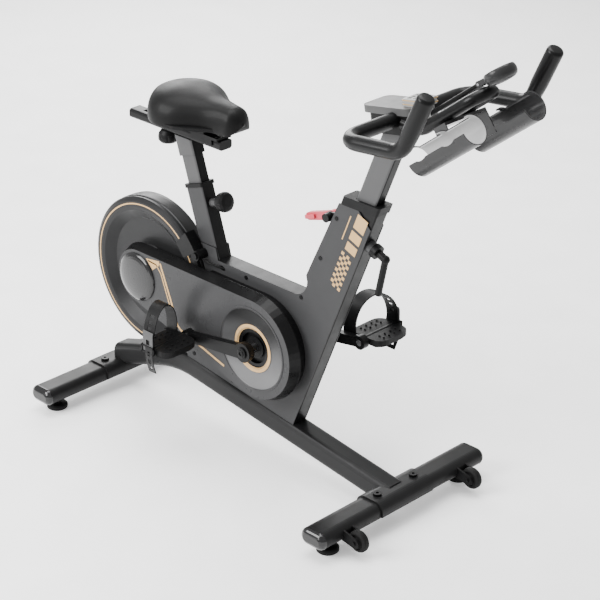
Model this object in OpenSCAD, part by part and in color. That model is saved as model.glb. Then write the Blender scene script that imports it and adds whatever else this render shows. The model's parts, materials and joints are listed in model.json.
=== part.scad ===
// Upright exercise bike with a belt-driven flywheel.
// +X points forward, +Y to the rider's left, +Z up. Millimetres.
// The origin is on the floor, under the middle of the bike's box.

/* [Stabilizers] */
// Distance of the front stabilizer ahead of the origin
front_x = 300; // [280:1:320]
// Distance of the rear stabilizer behind the origin
rear_x = 528; // [500:1:550]
// Length of each stabilizer with its end caps
stab_len = 484; // [440:2:520]
// Depth of the flat-oval stabilizer tube
stab_w = 64; // [56:1:72]
// Height of the flat-oval stabilizer tube
stab_h = 36; // [30:1:40]
// Height of the stabilizer tube's middle above the floor
stab_z = 43; // [38:1:48]
// Distance of each levelling foot from the middle
foot_y = 194; // [170:1:205]

/* [Frame] */
// Width of the frame across its side panels
frame_w = 38; // [34:1:44]
// Thickness of a side panel
panel_t = 2.5; // [2:0.5:4]
// Forward lean of the down tube and handlebar post
head_lean = 22.5; // [18:0.5:26]
// Depth of the down tube
down_d = 84; // [76:1:90]
// Backward lean of the seat tube and seat post
seat_lean = 18; // [16:0.5:20]
// Depth of the seat tube
seat_d = 51; // [48:1:54]
// Height of the beam's top face
beam_z = 407; // [395:1:415]
// Width of the spine tube
spine_w = 50; // [44:1:54]
// Height of the spine tube
spine_h = 48; // [42:1:52]

/* [Drive] */
// Crank length, axle to pedal
crank_len = 170; // [165:2.5:175]
// Height of the crank axle
crank_z = 270; // [262:1:278]
// Outer radius of the flywheel
fly_r = 169.5; // [160:0.5:169.5]
// Width of the flywheel's rim
fly_w = 52; // [44:1:54]
// Height of the flywheel axle
hub_z = 319; // [316:1:322]
// Outer radius of the drive pulley
pulley_r = 92; // [80:1:94]
// Outer radius of the flywheel's small pulley
small_r = 30; // [26:1:34]

/* [Handlebar] */
// Distance from the middle to each grip
grip_y = 175; // [160:1:190]
// Radius of the padded grip tube
grip_r = 15; // [13:0.5:16]
// Length of each upright horn
horn_len = 136; // [100:1:150]
// Length of an accessory cradle
cradle_len = 155; // [130:1:170]
// Outer radius of an accessory cradle
cradle_r = 29; // [26:1:32]

/* [Saddle] */
// Length of the saddle
saddle_len = 250; // [240:1:270]
// Width of the saddle at the back
saddle_w = 190; // [160:1:210]

/* [Hidden] */
$fn = 48;
eps = 0.01;
wall = 2.5;

// frame datum points
head_x = 210;
head_z = 648;
head_off = 6;
seat_x = -256;
seat_z = 540;
tube_w = frame_w - 2 * panel_t;
crank_x = -44;
hub_x = -391;
stab_r = stab_h / 2 - 0.5;
cap_t = 12;

// spine path
arc_r = 260;
front_rise = 8.1;
rear_fall = 17.5;
apex = [-305, 126];

// flywheel side faces
fly_y0 = -38;
fly_y1 = fly_y0 + fly_w;
clear_r = fly_r + 3;

// drive cover
face_y = -65;
back_y = -41;
cover_draft = 9;
cover_hub_r = 61;
cover_crank_r = 110;
dish_r = 93;

// handlebar plane and horn
bar_x = 308;
bar_z = 856;
bar_tilt = 6;
horn_lean = 65;
run_len = 122;
bend_r = 42;
loop_lean = 37.5;
loop_y = 30;
loop_r = 12;
loop_x = 372;
loop_z = 852;
loop_leg = 128;

// seat rail
rail_x0 = -455;
rail_x1 = -179;
rail_z = 651;
rail_h = 20;
rail_w = 34;
saddle_x = -247;

// colours
graphite = [0.23, 0.23, 0.24];
black = [0.06, 0.06, 0.065];
steel = [0.62, 0.62, 0.64];
grey = [0.42, 0.42, 0.43];
red = [0.78, 0.12, 0.16];

// ---- outlines ----

// Points of an arc about c
function arc_pts(c, r, a0, a1, n) =
    [for (i = [0 : n]) let (a = a0 + (a1 - a0) * i / n) [c[0] + r * cos(a), c[1] + r * sin(a)]];

// Rectangle w by h with rounded corners
function round_rect(w, h, r, n = 5) = concat(
    arc_pts([w / 2 - r, h / 2 - r], r, 0, 90, n),
    arc_pts([-w / 2 + r, h / 2 - r], r, 90, 180, n),
    arc_pts([-w / 2 + r, -h / 2 + r], r, 180, 270, n),
    arc_pts([w / 2 - r, -h / 2 + r], r, 270, 360, n));

// Outline of a belt round two circles in the XZ plane
function two_lobe(c1, r1, c2, r2, n = 24) =
    let (d = c2 - c1, a = atan2(d[1], d[0]), b = acos((r1 - r2) / norm(d)))
    concat(arc_pts(c2, r2, a - b, a + b, n), arc_pts(c1, r1, a + b, a + 360 - b, n));

// ---- placement ----

// Stands a flat outline in the XZ plane, from y0 to y1
module slab_y(y0, y1) {
    translate([0, y1, 0])
        rotate([90, 0, 0])
            linear_extrude(y1 - y0)
                children();
}

// Round bar along Y
module rod_y(x, z, y0, y1, r) {
    translate([x, y0, z])
        rotate([-90, 0, 0])
            cylinder(r = r, h = y1 - y0);
}

// Turns a profile round the Y axis through x, z; the profile's Y is the part's Y
module spin_y(x, z) {
    translate([x, 0, z])
        rotate([-90, 0, 0])
            rotate_extrude()
                children();
}

module head_axis() {
    translate([head_x, 0, head_z])
        rotate([0, head_lean, 0])
            children();
}

module seat_axis() {
    translate([seat_x, 0, seat_z])
        rotate([0, -seat_lean, 0])
            children();
}

module both_sides() {
    children();
    mirror([0, 1, 0])
        children();
}

// Straight rounded tube along Z, hollow when t is above zero
module box_tube(d, w, r, len, t = 0) {
    difference() {
        linear_extrude(len)
            polygon(round_rect(d, w, r));
        if (t > 0)
            translate([0, 0, -1])
                linear_extrude(len + 2)
                    polygon(round_rect(d - 2 * t, w - 2 * t, max(r - t, 0.5)));
    }
}

// ---- base ----

module spine_path(h, w, r, extra) {
    c = [apex[0], 0, apex[1] - arc_r];
    front_len = 620;
    rear_len = 200;
    a0 = 90 - front_rise;
    a1 = 90 + rear_fall;
    translate(c + arc_r * [cos(a0), 0, sin(a0)])
        rotate([0, 90 + front_rise, 0])
            translate([0, 0, -eps])
                linear_extrude(front_len + extra)
                    polygon(round_rect(h, w, r));
    translate(c)
        rotate([90, 0, 0])
            rotate([0, 0, a0])
                rotate_extrude(angle = a1 - a0, $fn = 180)
                    translate([arc_r, 0])
                        polygon(round_rect(h, w, r));
    translate(c + arc_r * [cos(a1), 0, sin(a1)])
        rotate([0, -90 - rear_fall, 0])
            translate([0, 0, -eps])
                linear_extrude(rear_len + extra)
                    polygon(round_rect(h, w, r));
}

module spine_outer() {
    spine_path(spine_h, spine_w, 12, 0);
}

// Everything the stabilizer and its bracket take up, at x
module stab_room(x) {
    grow = 2 * bracket_t;
    slab_y(-90, 90)
        translate([x, stab_z])
            polygon(round_rect(stab_w + grow, stab_h + grow, stab_r + bracket_t, 8));
}

module spine() {
    color(graphite)
        difference() {
            spine_outer();
            difference() {
                spine_path(spine_h - 2 * wall, spine_w - 2 * wall, 9.5, 1);
                translate([-rear_x - 200, -50, 0])
                    cube([200 + wall, 100, 200]);
            }
            stab_room(front_x);
            stab_room(-rear_x);
            translate([front_x, -50, 0])
                cube([200, 100, 200]);
            translate([-rear_x - 200, -50, 0])
                cube([200, 100, 200]);
        }
}

module stabilizer(x) {
    half = stab_len / 2 - cap_t;
    color(graphite)
        difference() {
            slab_y(-half, half)
                translate([x, stab_z])
                    polygon(round_rect(stab_w, stab_h, stab_r, 8));
            slab_y(-half - 1, half + 1)
                translate([x, stab_z])
                    polygon(round_rect(stab_w - 2 * wall, stab_h - 2 * wall, stab_r - wall, 8));
            for (y = [-foot_y, foot_y])
                translate([x, y, 0])
                    cylinder(r = foot_stud_r + 0.05, h = stab_z);
            for (y = [-bolt_y, bolt_y])
                translate([x, y, stab_z])
                    cylinder(r = bolt_r, h = stab_z);
        }
}

module front_stabilizer() {
    stabilizer(front_x);
}

module rear_stabilizer() {
    stabilizer(-rear_x);
}

// Moulded cap with a rounded end; a plug reaches into the tube
module end_cap() {
    ball = stab_h / 2 + 0.5;
    reach = stab_w / 2 - ball + 0.5;
    intersection() {
        hull()
            for (x = [-reach, reach])
                translate([x, 0, 0])
                    scale([1, 0.72, 1])
                        sphere(r = ball, $fn = 28);
        translate([-50, 0, -50])
            cube([100, cap_t, 100]);
    }
    rotate([90, 0, 0])
        linear_extrude(14)
            polygon(round_rect(stab_w - 2 * wall, stab_h - 2 * wall, stab_r - wall, 8));
}

module stabilizer_caps() {
    color(black)
        both_sides()
            for (x = [front_x, -rear_x])
                translate([x, stab_len / 2 - cap_t, stab_z])
                    end_cap();
}

bracket_t = 4;
bracket_len = 150;
bolt_y = 53;
bolt_r = 4.2;

// Saddle plate that wraps the top and sides of a stabilizer
module bracket(x) {
    grow = 2 * bracket_t;
    difference() {
        slab_y(-bracket_len / 2, bracket_len / 2)
            translate([x, stab_z])
                polygon(round_rect(stab_w + grow, stab_h + grow, stab_r + bracket_t, 8));
        slab_y(-bracket_len / 2 - 1, bracket_len / 2 + 1)
            translate([x, stab_z])
                polygon(round_rect(stab_w, stab_h, stab_r, 8));
        translate([x - 60, -100, -20])
            cube([120, 200, stab_z + 12]);
        for (y = [-bolt_y, bolt_y])
            translate([x, y, stab_z])
                cylinder(r = bolt_r, h = 60);
    }
}

module stabilizer_brackets() {
    color(graphite) {
        bracket(front_x);
        bracket(-rear_x);
    }
}

module bolt_up(head_r, shank_len) {
    cylinder(r = head_r, h = 5);
    translate([0, 0, -shank_len])
        cylinder(r = bolt_r, h = shank_len + eps);
}

// Stabilizer bolts, panel screws and the magnet arm's pivot bolt
module frame_fasteners() {
    color(black) {
        for (x = [front_x, -rear_x], y = [-bolt_y, bolt_y])
            translate([x, y, stab_z + stab_h / 2 + bracket_t])
                difference() {
                    bolt_up(9, 20);
                    translate([0, 0, 2.5])
                        cylinder(r = 3.5, h = 5, $fn = 6);
                }
        both_sides()
            for (p = panel_screw_pts) {
                rod_y(p[0], p[1], -frame_w / 2 - 1.2, -frame_w / 2, 4.5);
                rod_y(p[0], p[1], -frame_w / 2, -tube_w / 2 + 2, screw_r);
            }
        rod_y(arm_p[0], arm_p[1], -47, -frame_w / 2, arm_pin_r);
        rod_y(arm_p[0], arm_p[1], -50, -47, 8);
    }
    color(steel) {
        seat_pin_line()
            boss(seat_d / 2, 20, 9, 7.5, pin_r + 0.06);
        bar_lock_line()
            boss(down_d / 2, 11, 13.5, 12, lock_r + 0.06);
    }
}

pin_r = 3.6;
lock_r = 8;

// Turned boss on a tube's face, with a bore through it
module boss(z0, h, r0, r1, bore_r) {
    translate([0, 0, z0])
        rotate_extrude()
            polygon([[bore_r, 0], [r0, 0], [r0, h * 0.3], [r1, h], [bore_r, h]]);
}

// Line of the seat pin, square to the seat tube's front
module seat_pin_line() {
    seat_axis()
        rotate([0, 90, 0])
            translate([28, 0, 0])
                children();
}

// Line of the lock handle, square to the head's front
module bar_lock_line() {
    head_axis()
        rotate([0, 90, 0])
            translate([72, 0, 0])
                children();
}

foot_stud_r = 5;

// Levelling foot: a round pad with a nut and a screwed stud
module foot(x, y) {
    color(black)
        translate([x, y, 0]) {
            rotate_extrude()
                polygon([[0, 0], [21, 0], [23, 2], [23, 8], [20, 11], [9, 13], [9, 17], [0, 17]]);
            translate([0, 0, 17 - eps])
                cylinder(r = 9, h = 5, $fn = 6);
            cylinder(r = foot_stud_r, h = stab_z - stab_h / 2 + 12);
        }
}

module foot_front_right() {
    foot(front_x, -foot_y);
}

module foot_front_left() {
    foot(front_x, foot_y);
}

module foot_rear_right() {
    foot(-rear_x, -foot_y);
}

module foot_rear_left() {
    foot(-rear_x, foot_y);
}

wheel_x = 359;
wheel_y = 168;
wheel_z = 35;
wheel_r = 23;
wheel_w = 18;
wheel_axle_r = 4;

// Fork with two cheeks and the fixed axle between them
module wheel_fork() {
    gap = wheel_w / 2 + 1.5;
    cheek_t = 4;
    back_x = front_x + stab_w / 2;
    for (s = [-1, 1])
        translate([0, s * (gap + cheek_t / 2), 0])
            slab_y(-cheek_t / 2, cheek_t / 2)
                difference() {
                    union() {
                        translate([wheel_x, wheel_z])
                            circle(r = 11);
                        polygon([[back_x - 14, stab_z - 12], [back_x - 14, stab_z + 12],
                            [wheel_x, wheel_z + 11], [wheel_x, wheel_z - 11]]);
                    }
                    translate([front_x, stab_z])
                        polygon(round_rect(stab_w, stab_h, stab_r, 8));
                }
    rod_y(wheel_x, wheel_z, -gap - cheek_t - 3, gap + cheek_t + 3, wheel_axle_r);
}

module wheel_forks() {
    color(black)
        for (y = [-wheel_y, wheel_y])
            translate([0, y, 0])
                wheel_fork();
}

module transport_wheel(y) {
    r = wheel_r;
    w = wheel_w / 2;
    color(black)
        translate([0, y, 0])
            spin_y(wheel_x, wheel_z)
                polygon([[wheel_axle_r + 0.08, -w], [9, -w], [10, -w + 3], [15, -w + 3], [16, -w + 1],
                    [r - 5, -w + 1], [r - 1.5, -w + 3], [r, -w + 6], [r, w - 6], [r - 1.5, w - 3],
                    [r - 5, w - 1], [16, w - 1], [15, w - 3], [10, w - 3], [9, w],
                    [wheel_axle_r + 0.08, w]]);
}

module transport_wheel_right() {
    transport_wheel(-wheel_y);
}

module transport_wheel_left() {
    transport_wheel(wheel_y);
}

// ---- main frame ----

down_len = 640;
post_room_d = 50;
post_room_w = 31;

module down_tube_outer() {
    head_axis()
        translate([0, 0, -down_len])
            box_tube(down_d, tube_w, 3, down_len + 30);
}

// Clears the space above the head's level top
module above_head() {
    translate([head_x - 100, -60, head_z - 8])
        cube([260, 120, 120]);
}

module down_tube() {
    color(black)
        difference() {
            down_tube_outer();
            head_axis()
                translate([0, 0, -down_len + 20])
                    box_tube(down_d - 6, tube_w - 5, 2, down_len - 20 + 60);
            above_head();
            spine_outer();
            below_spine();
            lock_hole();
            cable_room();
            screw_holes();
        }
}

// Everything under the spine's middle line
module below_spine() {
    slab_y(-60, 60)
        polygon([[-400, -100], [-400, 120], [apex[0], 126], [-270, 123], [320, 39], [320, -100]]);
}

seat_tube_len = 520;
seat_tube_top = 10;

module seat_tube_outer() {
    seat_axis()
        translate([0, 0, -seat_tube_len])
            box_tube(seat_d, tube_w, 4, seat_tube_len + seat_tube_top);
}

module flywheel_room() {
    rod_y(hub_x, hub_z, -60, 60, clear_r);
}

module seat_tube() {
    color(graphite)
        difference() {
            seat_tube_outer();
            seat_axis()
                translate([0, 0, -seat_tube_len - 1])
                    box_tube(seat_d - 5, tube_w - 5, 2, seat_tube_len + seat_tube_top + 2);
            spine_outer();
            below_spine();
            flywheel_room();
            seat_pin_hole();
            screw_holes();
        }
}

beam_h = 62;

module top_beam() {
    color(black)
        difference() {
            translate([seat_x, -tube_w / 2, beam_z - beam_h])
                cube([330, tube_w, beam_h]);
            translate([seat_x - 1, -tube_w / 2 + 3, beam_z - beam_h + 3])
                cube([332, tube_w - 6, beam_h - 6]);
            cable_room();
            screw_holes();
            seat_tube_outer();
            down_tube_outer();
            translate([seat_x - 200, -60, 200])
                cube([200 + 40, 120, 300]);
        }
}

// Where the seat tube's front face and the down tube's rear face are at height z
function seat_face_x(z) =
    seat_x + seat_d / 2 / cos(seat_lean) - (z - seat_z) * tan(seat_lean);

function head_face_x(z) =
    head_x - down_d / 2 / cos(head_lean) + (z - head_z) * tan(head_lean);

shell_r = 26;

// Strut from the seat tube to the down tube, with the crank shell through it
module crank_shell() {
    z0 = crank_z - 15;
    z1 = crank_z + 15;
    color(graphite)
        difference() {
            union() {
                rod_y(crank_x, crank_z, -40, 40, shell_r);
                slab_y(-tube_w / 2, tube_w / 2)
                    polygon([[seat_face_x(z0), z0], [head_face_x(z0), z0],
                        [head_face_x(z1), z1], [seat_face_x(z1), z1]]);
            }
            rod_y(crank_x, crank_z, -41, 41, bearing_r);
        }
}

// Side panel outline, from the head down to the spine and back to the seat tube
function head_pt(x, z) = [
    head_x + x * cos(head_lean) + z * sin(head_lean),
    head_z - x * sin(head_lean) + z * cos(head_lean)];

function seat_pt(x, z) = [
    seat_x + x * cos(seat_lean) - z * sin(seat_lean),
    seat_z + x * sin(seat_lean) + z * cos(seat_lean)];

panel_back = -down_d / 2 - 3;
notch_r = 38;

module panel_outline() {
    front_top = head_pt(down_d / 2, -26);
    rear_top = head_pt(panel_back, 10);
    rear_low = head_pt(panel_back - 14, -230);
    difference() {
        polygon(concat(
            [front_top, rear_top, rear_low],
            arc_pts([rear_low[0] - notch_r * 0.92, beam_z + notch_r], notch_r, 0, -90, 8),
            [[seat_pt(seat_d / 2, -142)[0], beam_z], [seat_pt(seat_d / 2, -120)[0], beam_z + 26],
                [seat_pt(-seat_d / 2, -120)[0], beam_z + 26], [-240, 330], [-290, 180],
                [-290, 126], [-270, 123], head_pt(down_d / 2, -592)]));
        translate([head_x - 100, head_z - 8])
            square([260, 120]);
        translate([hub_x, hub_z])
            circle(r = clear_r, $fn = 120);
    }
}

module side_panel() {
    difference() {
        slab_y(-frame_w / 2, -tube_w / 2)
            panel_outline();
        spine_outer();
        rod_y(crank_x, crank_z, -30, 30, shell_r);
        screw_holes();
    }
}

screw_r = 2.2;
panel_screw_pts = [[-104, 396], [54, 405], [107, 508], [150, 606], [-150, 140],
    [-268, 162]];

module screw_holes() {
    for (p = panel_screw_pts)
        rod_y(p[0], p[1], -30, 30, screw_r);
}

module right_side_panel() {
    color(graphite)
        difference() {
            side_panel();
            cable_room();
        }
}

module left_side_panel() {
    color(graphite)
        mirror([0, 1, 0])
            side_panel();
}

// Moulded sleeve in the head, with a lip round its top
module head_collar() {
    color(black)
        difference() {
            union() {
                intersection() {
                    head_axis()
                        translate([0, 0, -60])
                            box_tube(down_d + 5, frame_w + 2, 5, 140);
                    translate([head_x - 100, -60, head_z - 8])
                        cube([260, 120, 19]);
                }
                difference() {
                    head_axis()
                        translate([0, 0, -110])
                            box_tube(down_d - 6, tube_w - 5, 2, 130);
                    above_head();
                }
            }
            head_axis()
                translate([head_off, 0, -130])
                    box_tube(post_room_d, post_room_w - 2.5, 4, 200);
            lock_hole();
            cable_room();
        }
}

seat_post_d = 43;
seat_post_w = 26;

// Moulded sleeve in the seat tube, with a thin lip on its top
module seat_collar() {
    color(black)
        seat_axis()
            difference() {
                union() {
                    translate([0, 0, seat_tube_top])
                        box_tube(seat_d + 5, tube_w + 5, 5, 8);
                    translate([0, 0, -90])
                        box_tube(seat_d - 5, tube_w - 5, 2, 90 + seat_tube_top + eps);
                }
                translate([0, 0, -100])
                    box_tube(seat_post_d + 0.6, seat_post_w + 0.6, 4, 140);
                rotate([0, 90, 0])
                    translate([28, 0, 0])
                        cylinder(r = 6.2, h = 60);
            }
}

// ---- drive ----

bearing_r = 20;
axle_r = 10;

module crank_bearings() {
    color(steel)
        both_sides()
            difference() {
                rod_y(crank_x, crank_z, 26, 40, bearing_r);
                rod_y(crank_x, crank_z, 25, 41, axle_r + 0.05);
            }
}

module crank_axle() {
    color(steel)
        rod_y(crank_x, crank_z, -84, 84, axle_r);
}

crank_y0 = 76;
crank_t = 15;
pedal_y0 = 94;
crank_dir = 187.8;
pedal_bore_r = 7;

// Forged crank: round boss, tapering arm and pedal eye
module crank_arm() {
    slab_y(-crank_y0 - crank_t, -crank_y0)
        difference() {
            union() {
                circle(r = 21);
                translate([crank_len, 0])
                    circle(r = 15);
                polygon([[0, 15], [0, -15], [crank_len, -10], [crank_len, 10]]);
            }
            translate([crank_len, 0])
                circle(r = pedal_bore_r);
        }
}

module crank_boss_cap() {
    rod_y(0, 0, -crank_y0 - crank_t - 3, -crank_y0 - crank_t, 12);
}

module crank(dir) {
    difference() {
        rotate([0, -dir, 0]) {
            crank_arm();
            crank_boss_cap();
        }
        rod_y(0, 0, -84 - eps, 0, axle_r);
    }
}

module right_crank() {
    color(black)
        translate([crank_x, 0, crank_z])
            crank(crank_dir);
}

module left_crank() {
    color(black)
        translate([crank_x, 0, crank_z])
            mirror([0, 1, 0])
                crank(crank_dir - 180);
}

belt_y0 = -54;
belt_y1 = -44;
belt_t = 3;
belt_gap = 0.2;

module crankset_pulley() {
    r = pulley_r;
    y0 = belt_y0 - 1.5;
    y1 = belt_y1 + 1.5;
    color(black)
        difference() {
            spin_y(crank_x, crank_z)
                polygon([[axle_r, y0 + 1], [24, y0 + 1], [24, y0 + 5], [r - 10, y0 + 5], [r - 10, y0],
                    [r, y0], [r, y1], [r - 10, y1], [r - 10, y1 - 4], [24, y1 - 4], [24, y1 + 2],
                    [axle_r, y1 + 2]]);
            for (a = [0 : 60 : 300])
                translate([crank_x + 55 * cos(a), 0, crank_z + 55 * sin(a)])
                    rotate([90, 0, 0])
                        cylinder(r = 14, h = 200, center = true);
        }
}

module drive_belt() {
    inner_small = small_r + belt_gap;
    inner_big = pulley_r + belt_gap;
    hub = [hub_x, hub_z];
    bb = [crank_x, crank_z];
    color(black)
        slab_y(belt_y0, belt_y1)
            difference() {
                polygon(two_lobe(hub, inner_small + belt_t, bb, inner_big + belt_t, 30));
                polygon(two_lobe(hub, inner_small, bb, inner_big, 30));
            }
}

fly_axle_r = 7;
fly_bore_r = 17.5;

module flywheel() {
    r = fly_r;
    y0 = fly_y0;
    y1 = fly_y1;
    web = y0 + 16;
    color(black)
        spin_y(hub_x, hub_z)
            polygon([[fly_bore_r, belt_y0], [small_r, belt_y0], [small_r, belt_y1], [26, belt_y1],
                [26, y0 + 4], [46, y0 + 6], [60, web], [118, web], [134, y0 + 5], [140, y0 + 1],
                [147, y0], [r - 10, y0], [r - 4, y0 + 2.5], [r - 1, y0 + 6], [r - 1, y0 + 10],
                [r - 2.5, y0 + 11], [r - 2.5, y0 + 14], [r - 0.5, y0 + 15.5], [r, y0 + 18],
                [r, y1 - 14], [r - 1, y1 - 6], [r - 4, y1 - 2.5], [r - 10, y1], [142, y1],
                [134, y1 - 6], [118, web + 9], [60, web + 9], [40, y1 - 4], [fly_bore_r, y1 - 4]]);
}

module flywheel_bearings() {
    color(steel)
        for (y = [belt_y0 + 2, fly_y1 - 16])
            difference() {
                rod_y(hub_x, hub_z, y, y + 11, fly_bore_r);
                rod_y(hub_x, hub_z, y - 1, y + 12, fly_axle_r + 0.05);
            }
}

stay_t = 4;
stay_y = -57;

// Plate from the flywheel axle forward to the frame
module stay_plate(y0, y1, tail) {
    slab_y(y0, y1)
        difference() {
            polygon(two_lobe([hub_x, hub_z], 22, [tail, 300], 26, 12));
            translate([hub_x, hub_z])
                circle(r = fly_axle_r);
        }
}

// Right stay inside the drive cover with its spacer, and the open left stay
module flywheel_stays() {
    color(graphite) {
        stay_plate(stay_y - stay_t, stay_y, -180);
        translate([-196, stay_y, 276])
            cube([32, -frame_w / 2 - stay_y, 46]);
        difference() {
            stay_plate(frame_w / 2, frame_w / 2 + 5, -150);
            for (x = [-178, -136])
                rod_y(x, 300, 0, 60, 4);
        }
    }
}

module hex_nut(x, z, y0, y1, r) {
    translate([x, y1, z])
        rotate([90, 0, 0])
            cylinder(r = r, h = y1 - y0, $fn = 6);
}

// Fixed axle, its nuts and the two bolts of the left stay
module flywheel_axle() {
    color(steel) {
        rod_y(hub_x, hub_z, stay_y - stay_t - 3, 40, fly_axle_r);
        difference() {
            hex_nut(hub_x, hub_z, frame_w / 2 + 5, frame_w / 2 + 14, 12);
            rod_y(hub_x, hub_z, 0, 60, fly_axle_r - eps);
        }
        for (x = [-178, -136]) {
            rod_y(x, 300, frame_w / 2, frame_w / 2 + 5, 4);
            hex_nut(x, 300, frame_w / 2 + 5, frame_w / 2 + 10, 8);
        }
    }
}

module cover_solid(grow, y0, y1) {
    hub = [hub_x, hub_z];
    bb = [crank_x, crank_z];
    hull() {
        slab_y(y0, y0 + 1)
            polygon(two_lobe(hub, cover_hub_r + grow, bb, cover_crank_r + grow, 28));
        slab_y(y1 - 1, y1)
            polygon(two_lobe(hub, cover_hub_r + grow + cover_draft, bb,
                cover_crank_r + grow + cover_draft, 28));
    }
}

module drive_cover() {
    skin = 2.2;
    color(graphite)
        difference() {
            cover_solid(0, face_y, back_y);
            cover_solid(-skin, face_y + skin, back_y + skin);
            rod_y(crank_x, crank_z, -100, 0, dish_r - 3);
            rod_y(hub_x, hub_z, -100, 0, 20);
        }
}

module drive_tray() {
    hub = [hub_x, hub_z];
    bb = [crank_x, crank_z];
    y1 = -frame_w / 2;
    x_cut = -204;
    color(black)
        difference() {
            intersection() {
                slab_y(back_y, y1)
                    polygon(two_lobe(hub, cover_hub_r, bb, cover_crank_r, 28));
                translate([x_cut, -100, 0])
                    cube([400, 200, 600]);
            }
            intersection() {
                slab_y(back_y - 1, y1 - 2)
                    polygon(two_lobe(hub, cover_hub_r - 2, bb, cover_crank_r - 2, 28));
                translate([x_cut + 2, -100, 0])
                    cube([400, 200, 600]);
            }
            rod_y(crank_x, crank_z, -100, 0, 27);
            translate([-197, -60, 275])
                cube([34, 60, 48]);
        }
}

module hub_cap() {
    r = 54;
    bulge = 12;
    color(black)
        spin_y(hub_x, hub_z)
            polygon(concat([[0, face_y], [0, face_y - bulge]],
                [for (i = [1 : 9]) let (a = i * 10) [r * sin(a), face_y - 2 - (bulge - 2) * cos(a)]],
                [[r, face_y]]));
}

// Dished ring round the crank, with a raised gold ring near its middle
module crank_dish() {
    r = dish_r;
    color(grey)
        spin_y(crank_x, crank_z)
            polygon([[34, face_y + 7], [40, face_y + 7], [44, face_y + 5], [46, face_y + 3.5],
                [52, face_y + 3.5], [54, face_y + 5.5], [r - 7, face_y + 1.5], [r - 3, face_y - 1.2],
                [r, face_y - 1.2], [r, face_y], [r - 3, face_y], [r - 3, face_y + 2], [r - 7, face_y + 4],
                [60, face_y + 8], [34, face_y + 9.4]]);
}

// ---- brake ----

lever_px = 124;
lever_pz = 600;
lever_pin_r = 3;

// Clevis on the back of the head, with its fixed pin
module brake_bracket() {
    color(black)
        difference() {
            union() {
                for (s = [-1, 1])
                    translate([0, s * 9, 0])
                        slab_y(-2.5, 2.5)
                            union() {
                                translate([lever_px, lever_pz])
                                    circle(r = 10);
                                polygon([[lever_px - 4, lever_pz - 9], [lever_px + 46, lever_pz - 16],
                                    [lever_px + 46, lever_pz + 16], [lever_px - 4, lever_pz + 9]]);
                            }
                rod_y(lever_px, lever_pz, -22, 14, lever_pin_r);
                rod_y(lever_px, lever_pz, -24, -11.5, 9);
            }
            down_tube_outer();
        }
}

module brake_lever() {
    x0 = lever_px;
    tip = [x0 - 62, lever_pz - 20];
    color(red)
        difference() {
            union() {
                slab_y(-6, 6)
                    union() {
                        translate([x0, lever_pz])
                            circle(r = 11);
                        translate(tip)
                            circle(r = 8);
                        polygon([[x0 + 3, lever_pz + 10.5], [tip[0] - 2, tip[1] + 7.7],
                            [tip[0] + 2, tip[1] - 7.7], [x0 - 3, lever_pz - 10.5]]);
                    }
                translate([tip[0], 0, tip[1]])
                    rotate([0, -18, 0])
                        translate([-6, -11, -4])
                            cube([26, 22, 8]);
            }
            rod_y(x0, lever_pz, -20, 20, lever_pin_r + 0.06);
        }
}

function hub_pt(r, a) = [hub_x + r * cos(a), hub_z + r * sin(a)];

arm_p = hub_pt(187, 30);
arm_pin_r = 4;
arm_y0 = fly_y0 - 8;
arm_y1 = -20;

// Sector of a ring round the flywheel axle
module hub_sector(r0, r1, a0, a1) {
    intersection() {
        difference() {
            translate([hub_x, hub_z])
                circle(r = r1, $fn = 120);
            translate([hub_x, hub_z])
                circle(r = r0, $fn = 120);
        }
        polygon([[hub_x, hub_z], hub_pt(400, a0), hub_pt(400, a1)]);
    }
}

// Swinging arm that carries the magnets beside the flywheel's rim
module magnet_arm() {
    color(black)
        difference() {
            union() {
                slab_y(arm_y0, arm_y1)
                    hub_sector(fly_r + 3.5, 190, 32, 46);
                slab_y(arm_y0, arm_y0 + 5)
                    hub_sector(fly_r - 22, 190, 32, 46);
                rod_y(arm_p[0], arm_p[1], arm_y0, arm_y1, 11);
            }
            rod_y(arm_p[0], arm_p[1], -80, 0, arm_pin_r + 0.06);
        }
}

// Cable route: from the lever down inside the frame, out by the magnet arm
cable_pts = [[121, 0, 586], [128, 0, 578], [137, 0, 568], [143, 0, 556], [141, 0, 540], [128, 0, 508],
    [108, 0, 460], [84, 0, 420], [58, 0, 398], [20, 0, 389], [-40, 0, 386], [-100, 0, 386],
    [-145, -4, 388], [-168, -12, 391], [-188, -24, 396], [-202, -30, 400], [-214, -31, 404]];
cable_r = 2.2;

function spline(p, i, t) =
    let (a = p[max(i - 1, 0)], b = p[i], c = p[i + 1], d = p[min(i + 2, len(p) - 1)])
    0.5 * (2 * b + (c - a) * t + (2 * a - 5 * b + 4 * c - d) * t * t
        + (3 * b - a - 3 * c + d) * t * t * t);

function smooth_path(p, n) = concat(
    [for (i = [0 : len(p) - 2], k = [0 : n - 1]) spline(p, i, k / n)], [p[len(p) - 1]]);

function unit(v) = v / norm(v);

// One tube swept along the points, whose radii are in r; ref is never along the path
module swept_tube(p, r, sides = 8, ref = [0, 1, 0]) {
    n = len(p);
    rings = [for (i = [0 : n - 1])
        let (t = unit(p[min(i + 1, n - 1)] - p[max(i - 1, 0)]),
            u = unit(cross(ref, t)), v = cross(t, u), ri = is_list(r) ? r[i] : r)
        for (k = [0 : sides - 1])
            p[i] + ri * (cos(360 * k / sides) * u + sin(360 * k / sides) * v)];
    polyhedron(rings, concat(
        [[for (k = [sides - 1 : -1 : 0]) k]],
        [for (i = [0 : n - 2], k = [0 : sides - 1]) let (m = (k + 1) % sides)
            [i * sides + k, i * sides + m, (i + 1) * sides + m, (i + 1) * sides + k]],
        [[for (k = [0 : sides - 1]) (n - 1) * sides + k]]));
}

// A path whose second half is given, and whose first half is its mirror image in Y
function both_halves(half) = concat(
    [for (i = [len(half) - 1 : -1 : 0]) [half[i][0], -half[i][1], half[i][2]]], half);

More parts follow.
